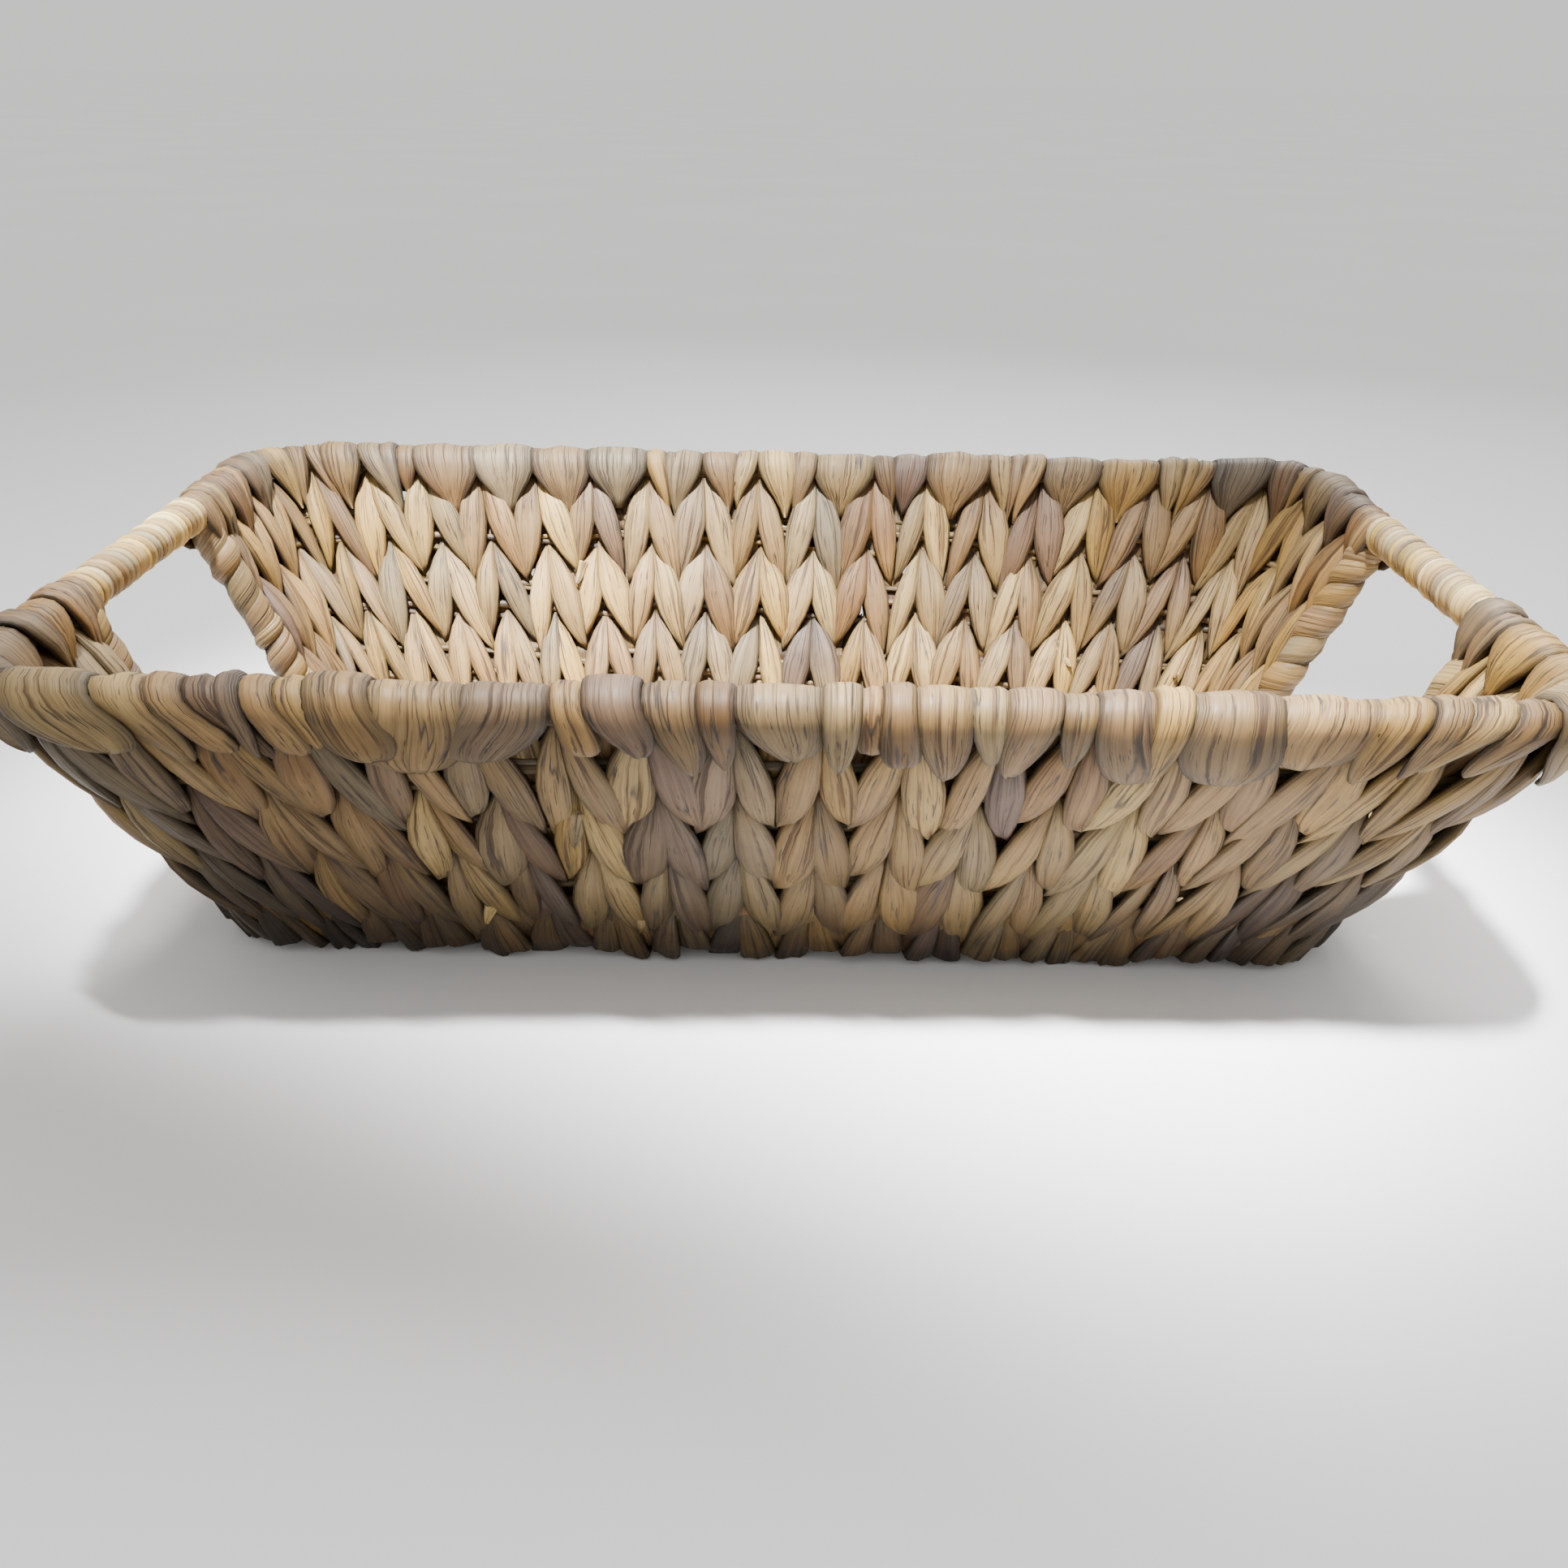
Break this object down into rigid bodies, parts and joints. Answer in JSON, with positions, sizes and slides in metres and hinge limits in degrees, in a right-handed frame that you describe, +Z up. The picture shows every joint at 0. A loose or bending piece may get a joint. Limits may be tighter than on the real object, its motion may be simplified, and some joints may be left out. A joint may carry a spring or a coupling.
{
  "type": "bread basket",
  "caption": "Low flared rectangular basket woven from flat dried plant strands over a wire frame, with a wrapped rim and a cut-out hand opening in each short end.",
  "frame": {"origin": "middle of the underside, on the surface that the basket stands on", "axes": "+X along the length, from the left hand opening to the right one; +Y from front to back; +Z up"},
  "size_m": [0.4, 0.244, 0.1],
  "materials": {
    "woven_strand": "dry matte plant fibre, straw to grey-brown from strand to strand",
    "rim_strip": "dry matte plant fibre with a slight sheen along the grain",
    "handle_strip": "tightly wound plant fibre, satin",
    "edge_strip": "wound plant fibre, matte",
    "core_fibre": "bundled plant fibre, matte",
    "frame_wire": "plain drawn wire"
  },
  "bodies": {
    "root": {"back_core_row_1": "core_fibre", "back_core_row_2": "core_fibre", "back_core_row_3": "core_fibre", "back_rim_wraps": "rim_strip", "back_wall_strands": "woven_strand", "floor_core_1": "core_fibre", "floor_core_2": "core_fibre", "floor_core_3": "core_fibre", "floor_core_4": "core_fibre", "floor_strands": "woven_strand", "foot_wire": "frame_wire", "front_core_row_1": "core_fibre", "front_core_row_2": "core_fibre", "front_core_row_3": "core_fibre", "front_rim_wraps": "rim_strip", "front_wall_strands": "woven_strand", "left_back_corner_rim_wraps": "rim_strip", "left_back_corner_strands": "woven_strand", "left_back_post_cap": "rim_strip", "left_back_post_wire": "frame_wire", "left_back_post_wraps": "edge_strip", "left_front_corner_rim_wraps": "rim_strip", "left_front_corner_strands": "woven_strand", "left_front_post_cap": "rim_strip", "left_front_post_wire": "frame_wire", "left_front_post_wraps": "edge_strip", "left_handle_wraps": "handle_strip", "left_sill_core": "core_fibre", "left_sill_strands": "woven_strand", "left_sill_wraps": "edge_strip", "right_back_corner_rim_wraps": "rim_strip", "right_back_corner_strands": "woven_strand", "right_back_post_cap": "rim_strip", "right_back_post_wire": "frame_wire", "right_back_post_wraps": "edge_strip", "right_front_corner_rim_wraps": "rim_strip", "right_front_corner_strands": "woven_strand", "right_front_post_cap": "rim_strip", "right_front_post_wire": "frame_wire", "right_front_post_wraps": "edge_strip", "right_handle_wraps": "handle_strip", "right_sill_core": "core_fibre", "right_sill_strands": "woven_strand", "right_sill_wraps": "edge_strip", "rim_filler": "core_fibre", "rim_wire": "frame_wire"}
  },
  "joints": []
}
